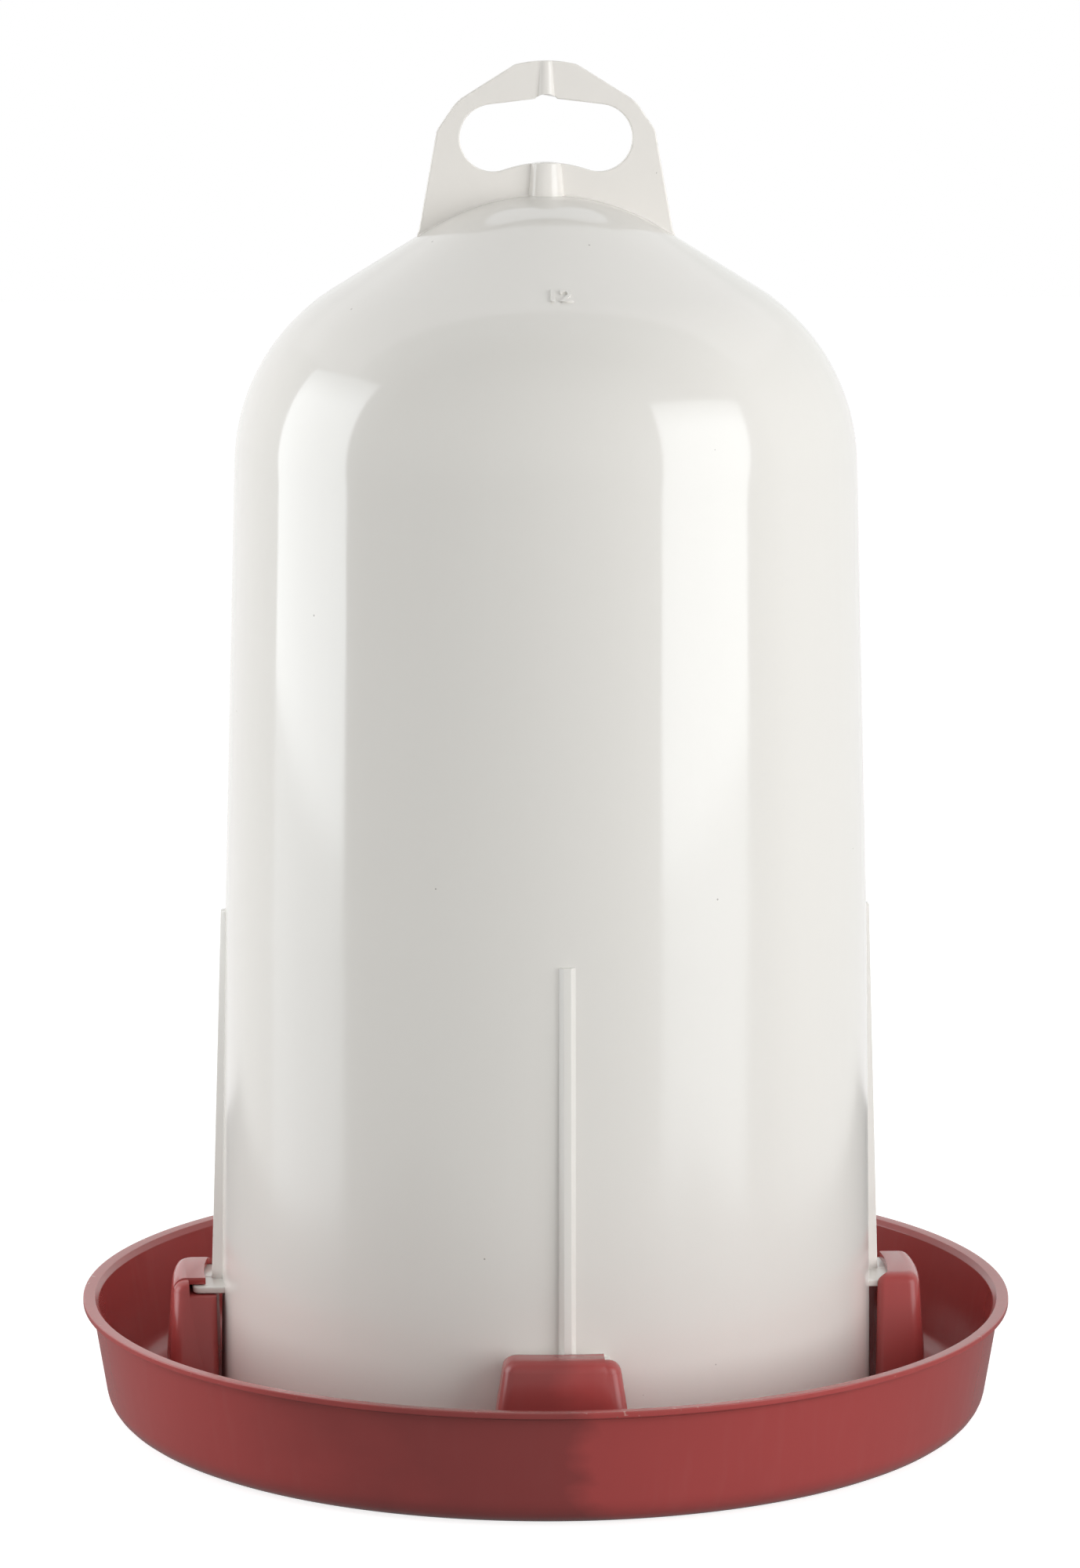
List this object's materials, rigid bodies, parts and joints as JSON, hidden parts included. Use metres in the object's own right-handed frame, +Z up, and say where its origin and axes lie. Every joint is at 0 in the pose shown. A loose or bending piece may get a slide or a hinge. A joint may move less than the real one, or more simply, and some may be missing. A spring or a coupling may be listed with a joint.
{
  "type": "poultry drinker",
  "caption": "Double-cylinder siphon drinker for poultry: white domed outer cylinder with a carrying handle, bayonet-locked over an inner tank in a round red trough.",
  "frame": {"origin": "centre of the trough's foot, on the ground", "axes": "+Z up along the axis that the outer cylinder turns about; the carrying handle lies in the XZ plane and -Y is the front"},
  "size_m": [0.354, 0.354, 0.5116],
  "materials": {
    "red_plastic": "glossy moulded",
    "white_plastic": "glossy moulded",
    "natural_plastic": "satin moulded"
  },
  "bodies": {
    "trough": {"trough": "red_plastic", "bayonet_hook_front": "red_plastic", "bayonet_hook_rear": "red_plastic", "bayonet_hook_left": "red_plastic", "bayonet_hook_right": "red_plastic"},
    "cover": {"outer_cylinder": "white_plastic", "carry_handle": "white_plastic", "guide_rib_front": "white_plastic", "guide_rib_rear": "white_plastic", "guide_rib_left": "white_plastic", "guide_rib_right": "white_plastic", "bayonet_lug_front": "white_plastic", "bayonet_lug_rear": "white_plastic", "bayonet_lug_left": "white_plastic", "bayonet_lug_right": "white_plastic"},
    "tank": {"inner_tank": "natural_plastic"}
  },
  "joints": [
    {"name": "cover_turn", "type": "hinge", "parent": "trough", "child": "cover", "pos_m": [0, 0, 0.05], "axis": [0, 0, 1], "range_deg": [0, 71]},
    {"name": "tank_lift", "type": "slide", "parent": "trough", "child": "tank", "axis": [0, 0, 1], "range_m": [0, 0.02]}
  ]
}
